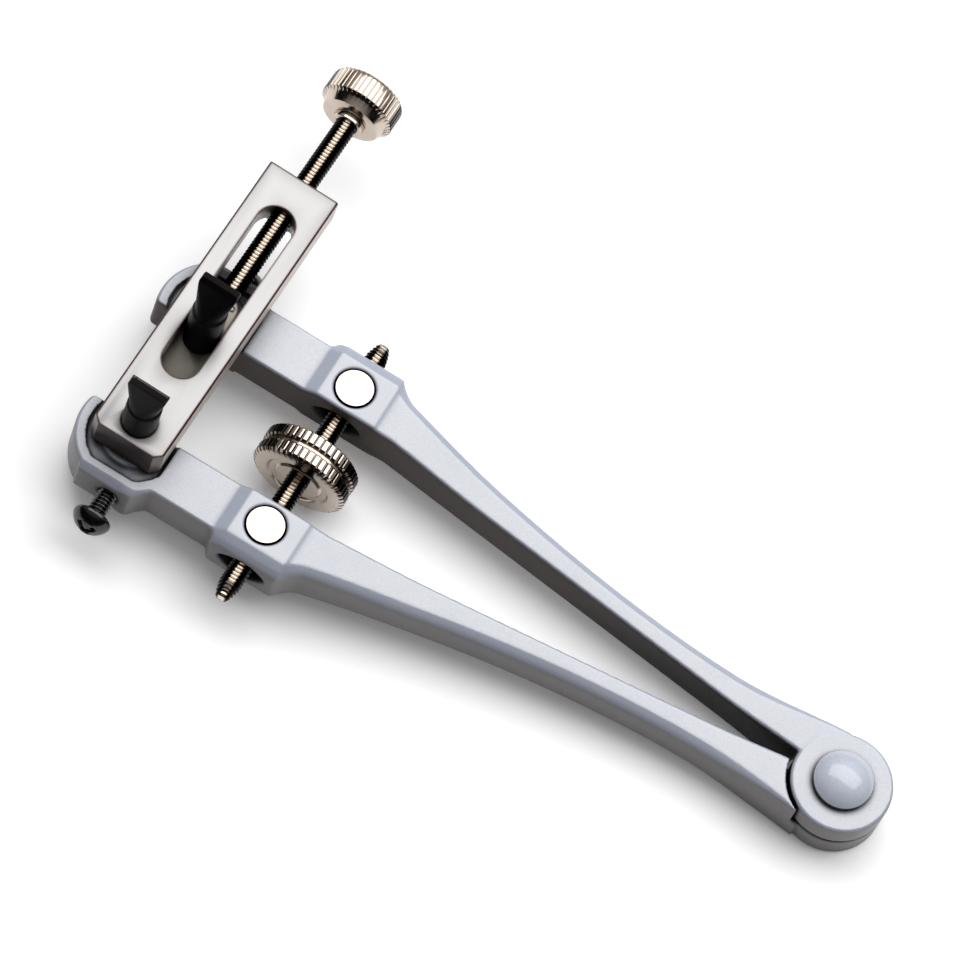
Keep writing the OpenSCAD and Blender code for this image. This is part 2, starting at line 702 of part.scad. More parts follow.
// Pan-head screw with a cross recess; z = 0 is under its head
module clamp_screw(length) difference() {
    r = clamp_head_d / 2;
    dome = clamp_head_h - head_edge;
    ball = (pow(r, 2) + pow(dome, 2)) / (2 * dome);
    union() {
        rotate_extrude() polygon(concat([[0, 0], [r - thread_edge, 0], [r, thread_edge]],
            [for (i = [0 : 8]) let (a = asin(r / ball) * (1 - i / 8))
                [ball * sin(a), clamp_head_h - ball + ball * cos(a)]]));
        translate([0, 0, -length]) cylinder(d = clamp_d, h = length + thread_edge);
    }
    for (turn = [0, 90]) rotate([0, 0, turn])
        translate([-recess_l / 2, -recess_w / 2, clamp_head_h - recess_h])
            cube([recess_l, recess_w, recess_h + over]);
}

// The lower clamp screw bears on the fixed bit, the upper one is run home
module lower_clamp_screw() color(black)
    translate([-socket_x + clamp_side, -face_y - clamp_out, clamp_z]) rotate([90, 45, 0])
        clamp_screw(clamp_l);

module upper_clamp_screw() color(black)
    translate([-socket_x + clamp_side, face_y + play, clamp_z]) rotate([-90, 20, 0])
        clamp_screw(clamp_l);

lower_arm();
upper_arm();
pivot_rivet();
pivot_washer();
lower_swivel_nut();
upper_swivel_nut();
spread_screw();
thumb_wheel();
wheel_set_screw();
head_bar();
fixed_bit();
slide_block();
slide_bit();
slide_bit_screw();
lead_screw_clip();
lead_screw();
knob_collar();
lead_knob();
knob_set_screw();
lower_clamp_screw();
upper_clamp_screw();
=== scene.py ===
import math
import json
import bmesh
import bpy
from mathutils import Matrix, Vector


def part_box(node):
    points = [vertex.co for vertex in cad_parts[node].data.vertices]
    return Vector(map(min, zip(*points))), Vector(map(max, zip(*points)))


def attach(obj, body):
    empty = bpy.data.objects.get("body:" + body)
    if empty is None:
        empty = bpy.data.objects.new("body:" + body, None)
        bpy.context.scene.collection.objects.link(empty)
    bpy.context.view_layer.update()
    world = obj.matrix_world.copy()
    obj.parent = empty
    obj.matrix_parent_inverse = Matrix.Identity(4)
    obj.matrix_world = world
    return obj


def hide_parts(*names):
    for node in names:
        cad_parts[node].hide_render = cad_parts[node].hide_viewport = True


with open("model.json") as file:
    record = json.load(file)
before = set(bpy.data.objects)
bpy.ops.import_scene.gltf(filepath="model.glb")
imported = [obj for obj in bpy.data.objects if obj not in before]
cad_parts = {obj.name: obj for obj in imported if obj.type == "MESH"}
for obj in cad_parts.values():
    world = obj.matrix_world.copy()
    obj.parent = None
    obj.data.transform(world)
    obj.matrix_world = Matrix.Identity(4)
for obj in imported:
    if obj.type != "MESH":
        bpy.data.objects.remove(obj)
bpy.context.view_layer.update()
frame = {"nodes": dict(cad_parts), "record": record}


# Camera
# A long lens looks down on the tool as it lies on the table, turned a little and rolled
# to the right, so that the rivet is at the lower right and the head at the upper left.
mm = 0.001
photo_size = 954
rivet_pixel = Vector((843, 781))
pixels_per_mm = 5.925
elevation = math.radians(66)
yaw = math.radians(-6.97)
roll = math.radians(25)
across = Vector((math.cos(yaw), -math.sin(yaw), 0))
upward = Vector((math.sin(yaw) * math.sin(elevation), math.cos(yaw) * math.sin(elevation),
                 math.cos(elevation)))
right = across * math.cos(roll) + upward * math.sin(roll)
up = upward * math.cos(roll) - across * math.sin(roll)
back = right.cross(up)
arm_top = Vector((0, 0, 11 * mm))
from_rivet = (Vector((photo_size / 2, photo_size / 2)) - rivet_pixel) / pixels_per_mm * mm
aim = arm_top + right * from_rivet.x - up * from_rivet.y
sensor_mm = 36
lens_mm = 300
camera_data = bpy.data.cameras.new("studio_camera")
camera_data.sensor_width = sensor_mm
camera_data.lens = lens_mm
camera_data.clip_end = 20
distance = photo_size / pixels_per_mm * mm * lens_mm / sensor_mm
camera = bpy.data.objects.new("studio_camera", camera_data)
bpy.context.scene.collection.objects.link(camera)
facing_back = Matrix((right, up, back)).transposed().to_4x4()
camera.matrix_world = Matrix.Translation(aim + back * distance) @ facing_back
bpy.context.scene.camera = camera
bpy.context.scene.view_settings.view_transform = "Standard"


# Floor
# A white table top. It is set so that the thumb wheel and the hub's far edge touch it,
# as they do when the tool lies on a table, because the wheel is thicker than the arms.
wheel_low, wheel_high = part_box("thumb_wheel")
wheel_x = (wheel_low[0] + wheel_high[0]) / 2
hub_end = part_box("lower_arm")[1][0]
slope = -wheel_low[2] / (hub_end - wheel_x)
floor_half = 2
floor_gap = 0.02 * mm
floor_shape = bmesh.new()
bmesh.ops.create_grid(floor_shape, x_segments=1, y_segments=1, size=floor_half)
floor_tilt = Matrix.Rotation(-math.atan(slope), 4, "Y")
floor_place = Matrix.Translation((wheel_x, 0, wheel_low[2] - floor_gap)) @ floor_tilt
bmesh.ops.transform(floor_shape, matrix=floor_place, verts=floor_shape.verts)
floor_mesh = bpy.data.meshes.new("table_top")
floor_shape.to_mesh(floor_mesh)
floor_shape.free()
floor = bpy.data.objects.new("table_top", floor_mesh)
bpy.context.scene.collection.objects.link(floor)


def add(tree, kind, inputs=None, stops=None, **settings):
    """Adds one shader node with its settings, its values and its links.

    Stops are the (position, colour) pairs of a colour ramp, from low to high. In a Map Range
    inputs 1 and 2 are read to outputs 3 and 4. In a colour Mix 0 is the share of 7 over 6.
    """
    node = tree.nodes.new(kind)
    if stops:
        first, *between, last = stops
        for element, (at, tone) in zip(node.color_ramp.elements, (first, last)):
            element.position, element.color = at, tone
        for at, tone in between:
            node.color_ramp.elements.new(at).color = tone
    for name, value in settings.items():
        setattr(node, name, value)
    for name, value in (inputs or {}).items():
        if isinstance(value, bpy.types.NodeSocket):
            tree.links.new(value, node.inputs[name])
        else:
            node.inputs[name].default_value = value
    return node


# Matt white paint: it shows white to the camera and in the metal, and bounces only a dim
# grey light, so that the tool's undersides stay dark
table_paint = bpy.data.materials.new("white_table")
table_paint.use_nodes = True
tree = table_paint.node_tree
tree.nodes.clear()
ray = add(tree, "ShaderNodeLightPath")
seen = add(tree, "ShaderNodeMath", {0: ray.outputs["Is Camera Ray"], 1: ray.outputs["Is Glossy Ray"]},
           operation="MAXIMUM")
shown = add(tree, "ShaderNodeMath", {0: seen.outputs[0], 1: ray.outputs["Is Transmission Ray"]},
            operation="MAXIMUM")
seen_white = add(tree, "ShaderNodeBsdfDiffuse", {"Color": (1, 1, 1, 1)})
bounce_grey = add(tree, "ShaderNodeBsdfDiffuse", {"Color": (0.34, 0.325, 0.315, 1)})
lift = add(tree, "ShaderNodeEmission", {"Color": (1, 1, 1, 1), "Strength": 0.13})
lifted_white = add(tree, "ShaderNodeAddShader", {0: seen_white.outputs[0], 1: lift.outputs[0]})
table_mix = add(tree, "ShaderNodeMixShader",
                {0: shown.outputs[0], 1: bounce_grey.outputs[0], 2: lifted_white.outputs[0]})
add(tree, "ShaderNodeOutputMaterial", {"Surface": table_mix.outputs[0]})
floor_mesh.materials.append(table_paint)


# Light
# One wide soft box above the tool and a dim room: bright overhead and dark at the horizon,
# which gives the plated pieces their black and white stripes.
world = bpy.data.worlds.new("studio")
world.use_nodes = True
bpy.context.scene.world = world
tree = world.node_tree
tree.nodes.clear()
direction = add(tree, "ShaderNodeTexCoord")
brightest = (0, 0.45, 0.89)
height = add(tree, "ShaderNodeVectorMath", {0: direction.outputs["Generated"], 1: brightest},
             operation="DOT_PRODUCT")
room = add(tree, "ShaderNodeValToRGB", {"Fac": height.outputs["Value"]},
           stops=((0.25, (0.006, 0.005, 0.004, 1)), (0.5, (0.4, 0.39, 0.39, 1)),
                  (0.95, (0.55, 0.56, 0.6, 1))))
backdrop = add(tree, "ShaderNodeBackground", {"Color": (1, 1, 1, 1), "Strength": 1.0})
dim_room = add(tree, "ShaderNodeBackground", {"Color": room.outputs[0], "Strength": 0.85})
ray = add(tree, "ShaderNodeLightPath")
room_mix = add(tree, "ShaderNodeMixShader",
               {0: ray.outputs["Is Camera Ray"], 1: dim_room.outputs[0], 2: backdrop.outputs[0]})
add(tree, "ShaderNodeOutputWorld", {"Surface": room_mix.outputs[0]})
soft_box_w = 1.5
soft_box_h = 0.7
soft_box_watts = 9.4
soft_box_at = (-0.06, 0.34, 0.75)
tool_middle = Vector((-0.07, 0, 0))
lamp_data = bpy.data.lights.new("soft_box", "AREA")
lamp_data.shape = "RECTANGLE"
lamp_data.size = soft_box_w
lamp_data.size_y = soft_box_h
lamp_data.energy = soft_box_watts
lamp = bpy.data.objects.new("soft_box", lamp_data)
lamp.location = soft_box_at
lamp.rotation_euler = (lamp.location - tool_middle).to_track_quat("Z", "Y").to_euler()
bpy.context.scene.collection.objects.link(lamp)


# Arms
# Two zinc castings with a lap at the rivet, a boss for the swivel nut and a rimmed head.
# They are tumbled, which rounds every edge, then stove enamelled in a satin light grey.
def merged_copy(node_name):
    """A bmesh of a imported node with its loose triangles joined."""
    shape = bmesh.new()
    shape.from_mesh(frame["nodes"][node_name].data)
    bmesh.ops.remove_doubles(shape, verts=shape.verts, dist=0.002 * mm)
    return shape


def finished(name, shape, material, body, smooth_angle=35):
    """Makes a piece of a bmesh, gives it its material and lets it ride on its body."""
    mesh = bpy.data.meshes.new(name)
    shape.to_mesh(mesh)
    shape.free()
    mesh.shade_smooth()
    mesh.set_sharp_from_angle(angle=math.radians(smooth_angle))
    mesh.materials.append(material)
    piece = bpy.data.objects.new(name, mesh)
    bpy.context.scene.collection.objects.link(piece)
    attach(piece, body)
    return piece


def tumbled(shape, grain, passes):
    """A casting or stamping whose edges are worn round: remeshed finely, then smoothed."""
    rough_mesh = bpy.data.meshes.new("rough")
    shape.to_mesh(rough_mesh)
    shape.free()
    rough = bpy.data.objects.new("rough", rough_mesh)
    bpy.context.scene.collection.objects.link(rough)
    skin = rough.modifiers.new("skin", "REMESH")
    skin.mode = "VOXEL"
    skin.voxel_size = grain
    wear = rough.modifiers.new("wear", "SMOOTH")
    wear.factor = 0.5
    wear.iterations = passes
    bpy.context.view_layer.update()
    worn_mesh = bpy.data.meshes.new_from_object(rough.evaluated_get(bpy.context.evaluated_depsgraph_get()))
    bpy.data.objects.remove(rough)
    bpy.data.meshes.remove(rough_mesh)
    worn = bmesh.new()
    worn.from_mesh(worn_mesh)
    bpy.data.meshes.remove(worn_mesh)
    return worn


def linear(hex_color):
    """Turns an sRGB hex colour to linear values with alpha."""
    parts = [int(hex_color[i:i + 2], 16) / 255 for i in (1, 3, 5)]
    return [c / 12.92 if c <= 0.04045 else ((c + 0.055) / 1.055) ** 2.4 for c in parts] + [1]


def surface(name):
    """A new node material: its tree, its shader and its object coordinates."""
    material = bpy.data.materials.new(name)
    material.use_nodes = True
    tree = material.node_tree
    tree.nodes.clear()
    shader = add(tree, "ShaderNodeBsdfPrincipled")
    add(tree, "ShaderNodeOutputMaterial", {"Surface": shader.outputs[0]})
    coords = add(tree, "ShaderNodeTexCoord").outputs["Object"]
    return material, tree, shader, coords


# Stove enamel over a cast skin: a soft satin sheen, a faint orange peel and fine flecks. Shade
# is painted in: the inner walls darker than the outer ones, and painted shade in every crease, nook and
# seam.
def stove_enamel(name, fleck_tones, slope_stops, dull, gloss):
    """Enamel; slope_stops are its painted shade tones from upright to level, on inner and on outer walls.
    """
    fleck_mm = 0.22
    cloud_mm = 9
    peel_mm = 0.55
    nook_mm = 13
    seam_mm = 1.8
    material, tree, shader, coords = surface(name)
    flecks = add(tree, "ShaderNodeTexNoise",
                 {"Vector": coords, "Scale": 1 / (fleck_mm * mm), "Detail": 2.0})
    fleck_tone = add(tree, "ShaderNodeValToRGB", {"Fac": flecks.outputs[0]},
                     stops=((0.3, linear(fleck_tones[0])), (0.62, linear(fleck_tones[1]))))
    clouds = add(tree, "ShaderNodeTexNoise",
                 {"Vector": coords, "Scale": 1 / (cloud_mm * mm), "Detail": 3.0})
    cloud_tone = add(tree, "ShaderNodeMix",
                     {0: clouds.outputs[0], 6: linear("#f2f3f6"), 7: linear("#ffffff")}, data_type="RGBA")
    # Painted shade: darker in the creases, where the pointiness is low
    edges = add(tree, "ShaderNodeNewGeometry").outputs["Pointiness"]
    hollow_shade = add(tree, "ShaderNodeMapRange", {"Value": edges, 1: 0.44, 2: 0.5, 3: 0.55, 4: 1.0})
    # Painted shade and light by how a face leans and faces: inner walls darker, outer walls lighter
    lean = add(tree, "ShaderNodeSeparateXYZ", {0: add(tree, "ShaderNodeNewGeometry").outputs["Normal"]})
    inner_tone, outer_tone = [
        add(tree, "ShaderNodeValToRGB", {"Fac": lean.outputs["Z"]},
            stops=[(at, linear(tone)) for at, tone in stops]).outputs[0] for stops in slope_stops]
    place = add(tree, "ShaderNodeSeparateXYZ", {0: coords})
    arm_side = add(tree, "ShaderNodeMath", {0: place.outputs["Y"]}, operation="SIGN")
    outward = add(tree, "ShaderNodeMath", {0: arm_side.outputs[0], 1: lean.outputs["Y"]},
                  operation="MULTIPLY")
    outer_share = add(tree, "ShaderNodeMapRange", {"Value": outward.outputs[0], 1: -0.3, 2: 0.3})
    painted_side_shade = add(tree, "ShaderNodeMix", {0: outer_share.outputs[0], 6: inner_tone, 7: outer_tone},
                    data_type="RGBA")
    # Painted shade in nooks and under the parts above, and deeper painted shade in narrow seams
    nook = add(tree, "ShaderNodeAmbientOcclusion", {"Distance": nook_mm * mm}, samples=8)
    painted_nook_shade = add(tree, "ShaderNodeMapRange",
                    {"Value": nook.outputs["AO"], 1: 0.3, 2: 0.7, 3: 0.14, 4: 1.0})
    seam = add(tree, "ShaderNodeAmbientOcclusion", {"Distance": seam_mm * mm}, samples=6)
    painted_seam_shade = add(tree, "ShaderNodeMapRange",
                    {"Value": seam.outputs["AO"], 1: 0.5, 2: 0.8, 3: 0.12, 4: 1.0})
    shown = fleck_tone.outputs[0]
    for tone in (cloud_tone.outputs[2], hollow_shade.outputs[0], painted_side_shade.outputs[2], painted_nook_shade.outputs[0],
                 painted_seam_shade.outputs[0]):
        shown = add(tree, "ShaderNodeMix", {0: 1.0, 6: shown, 7: tone}, data_type="RGBA",
                    blend_type="MULTIPLY").outputs[2]
    tree.links.new(shown, shader.inputs["Base Color"])
    peel = add(tree, "ShaderNodeTexNoise", {"Vector": coords, "Scale": 1 / (peel_mm * mm), "Detail": 3.0})
    sheen = add(tree, "ShaderNodeMapRange", {"Value": peel.outputs[0], 3: dull[0], 4: dull[1]})
    tree.links.new(sheen.outputs[0], shader.inputs["Roughness"])
    skin_bump = add(tree, "ShaderNodeBump",
                    {"Height": peel.outputs[0], "Strength": 0.25, "Distance": 0.03 * mm})
    tree.links.new(skin_bump.outputs[0], shader.inputs["Normal"])
    shader.inputs["Specular IOR Level"].default_value = gloss
    return material


# Painted shade tones from upright to level faces: the inner walls darker than the outer ones
inner_slopes = ((0.1, "#8f8580"), (0.5, "#a9a8ae"), (0.9, "#c4c8d2"), (0.985, "#ffffff"))
outer_slopes = ((0.1, "#f4f1ee"), (0.5, "#d2d4dc"), (0.9, "#c8cdd8"), (0.985, "#ffffff"))
enamel = stove_enamel("grey_stove_enamel", ("#cfd1d5", "#dcdde1"), (inner_slopes, outer_slopes),
                      dull=(0.34, 0.5), gloss=0.12)
casting_grain = 0.3 * mm

for side in ("lower", "upper"):
    casting = tumbled(merged_copy(side + "_arm"), casting_grain, passes=3)
    arm = finished(side + "_arm_casting", casting, enamel, side + "_arm", smooth_angle=180)
    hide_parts(side + "_arm")


# Rivet
# A steel rivet with a low round head, set before the arms are enamelled, so that the
# paint covers it too, a shade darker than the castings.
def turned(points, segments):
    """A bmesh turned about Z: points are (radius, height)."""
    shape = bmesh.new()
    verts = [shape.verts.new((radius, 0, along)) for radius, along in points]
    edges = [shape.edges.new(pair) for pair in zip(verts, verts[1:])]
    bmesh.ops.spin(shape, geom=verts + edges, cent=(0, 0, 0), axis=(0, 0, 1), dvec=(0, 0, 0),
                   angle=math.tau, steps=segments, use_merge=True, use_duplicate=False)
    bmesh.ops.remove_doubles(shape, verts=shape.verts, dist=0.001 * mm)
    bmesh.ops.recalc_face_normals(shape, faces=shape.faces)
    return shape


def arc(center, radius, start, end, count):
    """Points on an arc in (radius, height), angles in degrees."""
    angles = [math.radians(start + (end - start) * i / count) for i in range(count + 1)]
    return [(center[0] + radius * math.cos(a), center[1] + radius * math.sin(a)) for a in angles]


rivet_low, rivet_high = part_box("pivot_rivet")
rivet_r = (rivet_high[0] - rivet_low[0]) / 2
rivet_top = rivet_high[2]
hub_h = 10.55 * mm
rivet_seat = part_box("upper_arm")[0][2] + hub_h
rivet_wall = 1.15 * mm
rivet_edge = 0.25 * mm
dome_h = rivet_top - rivet_seat - rivet_wall
dome_r = (rivet_r ** 2 + dome_h ** 2) / (2 * dome_h)
dome_angle = math.degrees(math.acos(rivet_r / dome_r))
shank_r = 2.5 * mm
tail_r = 4 * mm
tail_h = 1.5 * mm
tail_gap = 0.01 * mm
rivet_points = [(0, tail_gap), (tail_r, tail_gap), (shank_r, tail_h), (shank_r, rivet_seat),
                (rivet_r - rivet_edge, rivet_seat), (rivet_r, rivet_seat + rivet_edge)]
rivet_points += arc((0, rivet_top - dome_r), dome_r, dome_angle, 90, 14)

# The same enamel, thicker and glossier on the smooth head, with a black painted shadow round its wall
rivet_slopes = ((0.4, "#0d0a0a"), (0.6, "#f0f0f2"), (0.9, "#f6f6f8"), (0.985, "#ffffff"))
rivet_enamel = stove_enamel("rivet_enamel", ("#bcc2cc", "#ccd1da"), (rivet_slopes, rivet_slopes),
                            dull=(0.1, 0.16), gloss=0.6)
rivet = finished("rivet_head", turned(rivet_points, segments=96), rivet_enamel, "lower_arm")
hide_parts("pivot_rivet")


# Washer
# A thin steel washer, nickel plated. It lies round the rivet between the two laps and keeps
# their paint from rubbing.

# Nickel plate over turned steel: a mirror with a fine grain and painted shade in its recesses. On the
# round pieces it also has a painted dark reflection along both sides
def painted_side_reflection(tree, coords, tint, place, axis, reach, dark, faces=0.0):
    """Paints a dark reflection into a round piece from one distance beside its axis to another.

    Faces across the axis get it by the share given.
    """
    sideways = Vector((axis[1], -axis[0], 0))
    along = add(tree, "ShaderNodeVectorMath", {0: coords, 1: sideways}, operation="DOT_PRODUCT")
    beside = add(tree, "ShaderNodeMath", {0: along.outputs["Value"], 1: sideways.dot(Vector(place))},
                 operation="SUBTRACT")
    distance = add(tree, "ShaderNodeMath", {0: beside.outputs[0]}, operation="ABSOLUTE")
    share = add(tree, "ShaderNodeMapRange", {"Value": distance.outputs[0], 1: reach[0], 2: reach[1]})
    lean = add(tree, "ShaderNodeVectorMath", {0: add(tree, "ShaderNodeNewGeometry").outputs["True Normal"],
                                              1: Vector(axis)}, operation="DOT_PRODUCT")
    across = add(tree, "ShaderNodeMath", {0: lean.outputs["Value"]}, operation="ABSOLUTE")
    kept = add(tree, "ShaderNodeMapRange", {"Value": across.outputs[0], 1: 0.5, 2: 0.7, 3: 1.0, 4: faces})
    limited = add(tree, "ShaderNodeMath", {0: share.outputs[0], 1: kept.outputs[0]}, operation="MULTIPLY")
    return add(tree, "ShaderNodeMix", {0: limited.outputs[0], 6: tint, 7: linear(dark)},
               data_type="RGBA").outputs[2]


def plated(name, place=(0, 0, 0), axis=(0, 1, 0), reach=None, painted_dark_rim=False):
    """Nickel plate; reach gives the distances beside the axis between which a dark reflection is painted.

    With a painted dark rim, whatever doesn't face up is painted dark, a painted reflection round a nut's
    edge.
    """
    smear_mm = 2.2
    hollow_shade_mm = 0.9
    grain_mm = 0.12
    material, tree, shader, coords = surface(name)
    smear = add(tree, "ShaderNodeTexNoise", {"Vector": coords, "Scale": 1 / (smear_mm * mm), "Detail": 4.0})
    tint = add(tree, "ShaderNodeMix", {0: smear.outputs[0], 6: linear("#b8aa9c"), 7: linear("#cdc1b5")},
               data_type="RGBA")
    # Painted shade: dark brown mixed in where the occlusion is low
    nook = add(tree, "ShaderNodeAmbientOcclusion", {"Distance": hollow_shade_mm * mm}, samples=6, only_local=True)
    hollow_shade = add(tree, "ShaderNodeMapRange", {"Value": nook.outputs["AO"], 1: 0.42, 2: 0.76})
    shown = add(tree, "ShaderNodeMix", {0: hollow_shade.outputs[0], 6: linear("#2c0f0b"), 7: tint.outputs[2]},
                data_type="RGBA").outputs[2]
    if reach:
        shown = painted_side_reflection(tree, coords, shown, place, axis, reach, "#0d0706")
    # Painted dark reflection on every face that doesn't face up
    if painted_dark_rim:
        face = add(tree, "ShaderNodeNewGeometry").outputs["True Normal"]
        facing = add(tree, "ShaderNodeSeparateXYZ", {0: face})
        rim_share = add(tree, "ShaderNodeMapRange", {"Value": facing.outputs["Z"], 1: 0.97, 2: 0.9})
        shown = add(tree, "ShaderNodeMix", {0: rim_share.outputs[0], 6: shown, 7: linear("#1c0705")},
                    data_type="RGBA").outputs[2]
    tree.links.new(shown, shader.inputs["Base Color"])
    dull = add(tree, "ShaderNodeMapRange", {"Value": smear.outputs[0], 3: 0.1, 4: 0.2})
    tree.links.new(dull.outputs[0], shader.inputs["Roughness"])
    grain = add(tree, "ShaderNodeTexNoise", {"Vector": coords, "Scale": 1 / (grain_mm * mm), "Detail": 2.0})
    grain_bump = add(tree, "ShaderNodeBump",
                     {"Height": grain.outputs[0], "Strength": 0.12, "Distance": 0.004 * mm})
    tree.links.new(grain_bump.outputs[0], shader.inputs["Normal"])
    shader.inputs["Metallic"].default_value = 1.0
    return material


nickel = plated("bright_nickel_plate")
washer = frame["nodes"]["pivot_washer"]
washer.data.materials.clear()
washer.data.materials.append(nickel)


# Swivel nuts
# Round steel nuts, faced flat and nickel plated, that turn in the arms' bosses. Each is
# cross-drilled and tapped for the cross screw, which keeps it in place.
def machined(node_name, name, material, body, edge, smooth_angle=40):
    """A milled or turned piece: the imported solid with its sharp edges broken."""
    flat_angle = math.radians(0.5)
    sharp_angle = math.radians(30)
    shape = merged_copy(node_name)
    bmesh.ops.dissolve_limit(shape, angle_limit=flat_angle, verts=shape.verts, edges=shape.edges,
                             use_dissolve_boundaries=False, delimit=set())
    sharp = [e for e in shape.edges if len(e.link_faces) == 2 and e.calc_face_angle() > sharp_angle]
    bmesh.ops.bevel(shape, geom=sharp, offset=edge, offset_type="OFFSET", segments=2, profile=0.5,
                    affect="EDGES", clamp_overlap=True, material=-1)
    return finished(name, shape, material, body, smooth_angle)


# The nuts' edges get a painted dark reflection
nut_plate = plated("nut_nickel_plate", painted_dark_rim=True)
for side in ("lower", "upper"):
    nut = machined(side + "_swivel_nut", side + "_nut", nut_plate, side + "_swivel_nut", edge=0.3 * mm)
    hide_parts(side + "_swivel_nut")


# Cross screw
# An M4 screw of nickel plated steel, threaded right-handed through the lower nut and
# left-handed through the upper one, with a coned point at each end.
thread_pitch = 0.7 * mm
thread_depth = 0.43 * mm
crest_edge = 0.06 * mm


def threaded_rod(start, end, crest, hand, cone_start=0, cone_end=0):
    """A bmesh of a threaded rod along Z, cut flat at both ends, closed and coned.

    Hand is 1 or -1. The tooth's points are (radius, share of the pitch), and the thread runs
    out on the first part of a cone.
    """
    steps = 28
    root = crest - thread_depth
    turns = math.ceil((end - start) / thread_pitch) + 2
    tooth = ((root, 0), (crest - crest_edge, 0.36), (crest, 0.42), (crest, 0.54), (crest - crest_edge, 0.6),
             (root, 0.96), (root, 1))
    rod = bmesh.new()
    verts = [rod.verts.new((radius, 0, start + (share - 1.5) * thread_pitch)) for radius, share in tooth]
    edges = [rod.edges.new(pair) for pair in zip(verts, verts[1:])]
    bmesh.ops.spin(rod, geom=verts + edges, cent=(0, 0, 0), axis=(0, 0, 1),
                   dvec=(0, 0, thread_pitch / steps), angle=hand * math.tau * turns, steps=steps * turns,
                   use_merge=False, use_duplicate=False)
    bmesh.ops.remove_doubles(rod, verts=rod.verts, dist=0.004 * mm)
    for at, out in ((start, -1), (end, 1)):
        bmesh.ops.bisect_plane(rod, geom=rod.verts[:] + rod.edges[:] + rod.faces[:], dist=0.0005 * mm,
                               plane_co=(0, 0, at), plane_no=(0, 0, out), clear_outer=True)
    bmesh.ops.holes_fill(rod, edges=[e for e in rod.edges if e.is_boundary], sides=0)
    tip_share = 0.45
    run_out = 0.45
    for vert in rod.verts:
        from_start = (vert.co.z - start) / cone_start if cone_start else 1
        from_end = (end - vert.co.z) / cone_end if cone_end else 1
        up_cone = min(1, max(0, min(from_start, from_end)))
        taper = tip_share + (1 - tip_share) * up_cone ** 0.6
        radius = math.hypot(vert.co.x, vert.co.y)
        cut = (crest - radius) * min(1, up_cone / run_out)
        if radius > 0.01 * mm:
            vert.co.x *= (crest - cut) * taper / radius
            vert.co.y *= (crest - cut) * taper / radius
    bmesh.ops.recalc_face_normals(rod, faces=rod.faces)
    return rod


def placed(shape, place, axis):
    """Turns a bmesh from Z to an axis and moves it to its place."""
    turn = Vector((0, 0, 1)).rotation_difference(Vector(axis)).to_matrix().to_4x4()
    bmesh.ops.transform(shape, matrix=Matrix.Translation(place) @ turn, verts=shape.verts)
    return shape


def joined(first, second):
    """Adds the second bmesh to the first."""
    carrier = bpy.data.meshes.new("carrier")
    second.to_mesh(carrier)
    second.free()
    first.from_mesh(carrier)
    bpy.data.meshes.remove(carrier)
    return first


# Nickel plate on cut threads: painted highlights on the crests, painted shade in the roots and sides
def plated_thread(name, place, axis, reach):
    """Nickel plate on a thread; reach as for plated."""
    wear_mm = 0.8
    material, tree, shader, coords = surface(name)
    wear = add(tree, "ShaderNodeTexNoise", {"Vector": coords, "Scale": 1 / (wear_mm * mm), "Detail": 3.0})
    # Painted highlight on the crests and painted shade in the roots, by pointiness
    crests = add(tree, "ShaderNodeNewGeometry").outputs["Pointiness"]
    crest_highlight_share = add(tree, "ShaderNodeMapRange", {"Value": crests, 1: 0.42, 2: 0.52})
    tint = add(tree, "ShaderNodeMix",
               {0: crest_highlight_share.outputs[0], 6: linear("#1d120d"), 7: linear("#dccfc0")}, data_type="RGBA")
    shown = painted_side_reflection(tree, coords, tint.outputs[2], place, axis, reach, "#0a0504", faces=1.0)
    tree.links.new(shown, shader.inputs["Base Color"])
    dull = add(tree, "ShaderNodeMapRange", {"Value": wear.outputs[0], 3: 0.16, 4: 0.28})
    tree.links.new(dull.outputs[0], shader.inputs["Roughness"])
    shader.inputs["Metallic"].default_value = 1.0
    return material


cross_low, cross_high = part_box("spread_screw")
cross_r = (cross_high[2] - cross_low[2]) / 2
cross_place = ((cross_low[0] + cross_high[0]) / 2, 0, (cross_low[2] + cross_high[2]) / 2)
cross_axis = (0, 1, 0)
point_l = 2.8 * mm
cross_thread = joined(threaded_rod(cross_low[1], 0, cross_r, hand=1, cone_start=point_l),
                      threaded_rod(0, cross_high[1], cross_r, hand=-1, cone_end=point_l))
# Painted crest highlights, root shade and a dark reflection along both sides of the screw
cross_plate = plated_thread("cross_screw_nickel_plate", cross_place, cross_axis,
                            (0.22 * cross_r, 0.38 * cross_r))
cross_screw = finished("cross_screw", placed(cross_thread, cross_place, cross_axis), cross_plate,
                       "spread_screw", smooth_angle=50)
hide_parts("spread_screw")


# Thumb wheel
# Turned from steel, straight-knurled in two bands with a groove between them, then nickel
# plated. A set screw in the groove pins it to the cross screw.
def knurled(rows, ridges, depth, place, axis, material, name, body):
    """A knurled wheel: rows are (distance along the axis, radius, share of the knurl's depth).

    The tooth's numbers are how deep the knurl is cut at each step round one ridge.
    """
    tooth = (0, 0, 0, 0, 0, 0.12, 1, 1, 0.12)
    shape = bmesh.new()
    ring = bmesh.ops.create_circle(shape, segments=ridges * len(tooth), radius=1, cap_ends=False)["verts"]
    edges = shape.edges[:]
    for index, (along, radius, share) in enumerate(rows):
        if index:
            made = bmesh.ops.extrude_edge_only(shape, edges=edges)["geom"]
            ring = [g for g in made if isinstance(g, bmesh.types.BMVert)]
            edges = [g for g in made if isinstance(g, bmesh.types.BMEdge)]
        for vert in ring:
            angle = math.atan2(vert.co.y, vert.co.x) % math.tau
            cut = tooth[round(angle / math.tau * ridges * len(tooth)) % len(tooth)]
            reach = radius - cut * share * depth
            vert.co = (reach * math.cos(angle), reach * math.sin(angle), along)
    bmesh.ops.remove_doubles(shape, verts=shape.verts, dist=0.001 * mm)
    bmesh.ops.recalc_face_normals(shape, faces=shape.faces)
    return finished(name, placed(shape, place, axis), material, body, smooth_angle=28)


